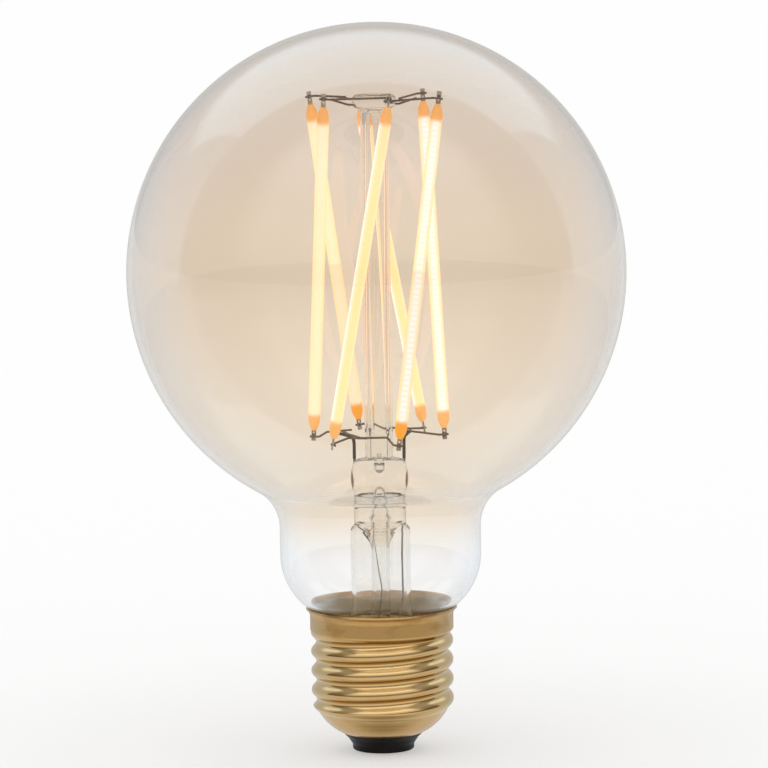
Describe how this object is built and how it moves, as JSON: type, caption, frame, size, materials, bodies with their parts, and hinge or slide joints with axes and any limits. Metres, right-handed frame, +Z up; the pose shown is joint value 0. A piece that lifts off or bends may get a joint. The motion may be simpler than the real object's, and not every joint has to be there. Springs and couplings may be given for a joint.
{
  "type": "led light bulb",
  "caption": "Globe lamp with lit LED filaments leaning round a glass stem inside an amber-tinted envelope, on a brass screw cap with a black insulator.",
  "frame": {"origin": "centre of the flat land of the centre contact, the lowest point of the screw cap", "axes": "+Z up the lamp's axis from the cap to the top of the globe, -Y towards the side that the picture shows, +X to the right of that view"},
  "size_m": [0.0918, 0.0918, 0.1351],
  "materials": {
    "tinted_glass": "clear glass with a thin amber tint that fades out at the neck",
    "clear_glass": "clear glass",
    "cap_brass": "satin antique brass, slightly worn",
    "insulator_black": "moulded black, slightly shiny",
    "contact_metal": "tinned, pressed",
    "cement": "hardened cement",
    "phosphor": "silicone filled with phosphor, lit",
    "tab_metal": "bare pressed strip",
    "lead_metal": "dark drawn wire",
    "link_metal": "dark drawn wire, coppery in places",
    "seal_metal": "copper-clad sealing wire",
    "copper_wire": "tinned copper wire, dulled",
    "board_laminate": "glass-fibre laminate",
    "can_aluminium": "drawn can",
    "package_black": "moulded package",
    "ferrite": "ferrite drum with a winding",
    "resistor_body": "lacquered body"
  },
  "bodies": {
    "root": {"envelope": "tinted_glass", "stem_flare": "clear_glass", "support_tube": "clear_glass", "exhaust_tube": "clear_glass", "screw_shell": "cap_brass", "insulator": "insulator_black", "centre_contact": "contact_metal", "cap_cement": "cement", "filament_1": "phosphor", "filament_2": "phosphor", "filament_3": "phosphor", "filament_4": "phosphor", "filament_5": "phosphor", "filament_6": "phosphor", "filament_1_foot_tab": "tab_metal", "filament_1_head_tab": "tab_metal", "filament_2_foot_tab": "tab_metal", "filament_2_head_tab": "tab_metal", "filament_3_foot_tab": "tab_metal", "filament_3_head_tab": "tab_metal", "filament_4_foot_tab": "tab_metal", "filament_4_head_tab": "tab_metal", "filament_5_foot_tab": "tab_metal", "filament_5_head_tab": "tab_metal", "filament_6_foot_tab": "tab_metal", "filament_6_head_tab": "tab_metal", "left_lead": "lead_metal", "right_lead": "lead_metal", "anchor_wire": "link_metal", "front_link": "link_metal", "right_link": "link_metal", "back_link": "link_metal", "left_link": "link_metal", "cross_link": "link_metal", "left_spur": "link_metal", "right_spur": "link_metal", "front_spur": "link_metal", "front_bridge": "link_metal", "back_bridge": "link_metal", "left_seal_wire": "seal_metal", "right_seal_wire": "seal_metal", "left_outer_lead": "copper_wire", "right_outer_lead": "copper_wire", "live_wire": "copper_wire", "shell_wire": "copper_wire", "driver_board": "board_laminate", "capacitor": "can_aluminium", "driver_chip": "package_black", "rectifier": "package_black", "inductor": "ferrite", "fuse_resistor": "resistor_body"}
  },
  "joints": []
}
